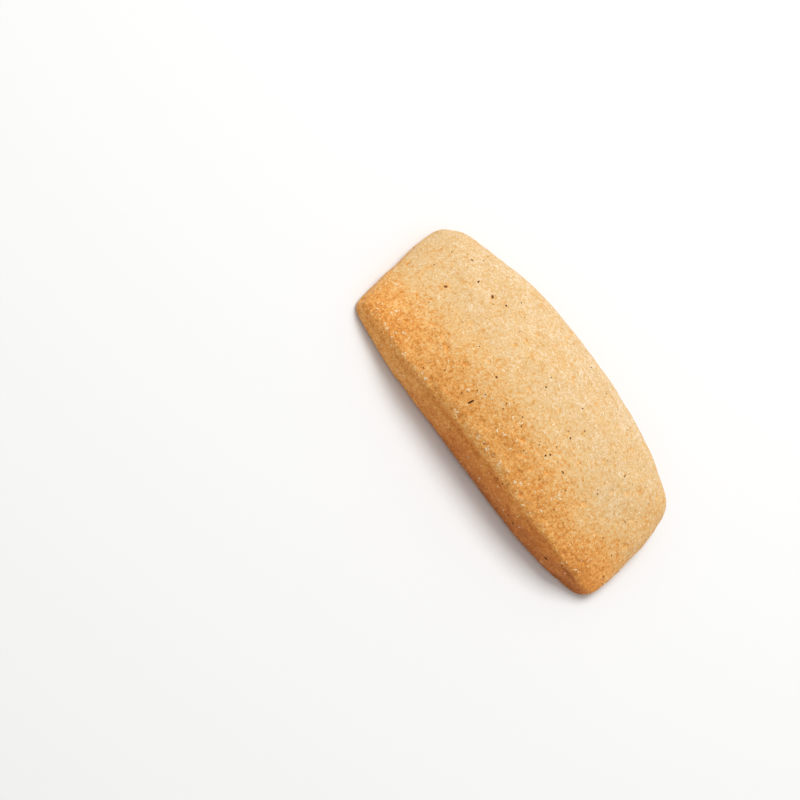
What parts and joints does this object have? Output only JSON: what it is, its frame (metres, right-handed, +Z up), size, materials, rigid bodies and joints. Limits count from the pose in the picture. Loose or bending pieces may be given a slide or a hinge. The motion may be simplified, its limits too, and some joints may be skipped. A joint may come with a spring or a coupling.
{
  "type": "shortbread biscuit",
  "caption": "Pillow-shaped bar of shortbread with a domed golden top, thin rounded ends, low side walls and a flat underside, to be eaten as it is or dunked.",
  "frame": {"origin": "middle of the flat base, at the bottom centre of the bounding box", "axes": "+X along the biscuit from its left cut end to its right one, +Y across it towards the far long side, +Z up out of the domed top"},
  "size_m": [0.0726, 0.0358, 0.0154],
  "materials": {
    "golden_crust": "dry, matt, sandy baked crust, pale gold on top and toasted orange-brown at the rims, with dark spice flecks and pale sugar grains"
  },
  "bodies": {
    "root": {"shortbread_biscuit": "golden_crust"}
  },
  "joints": []
}
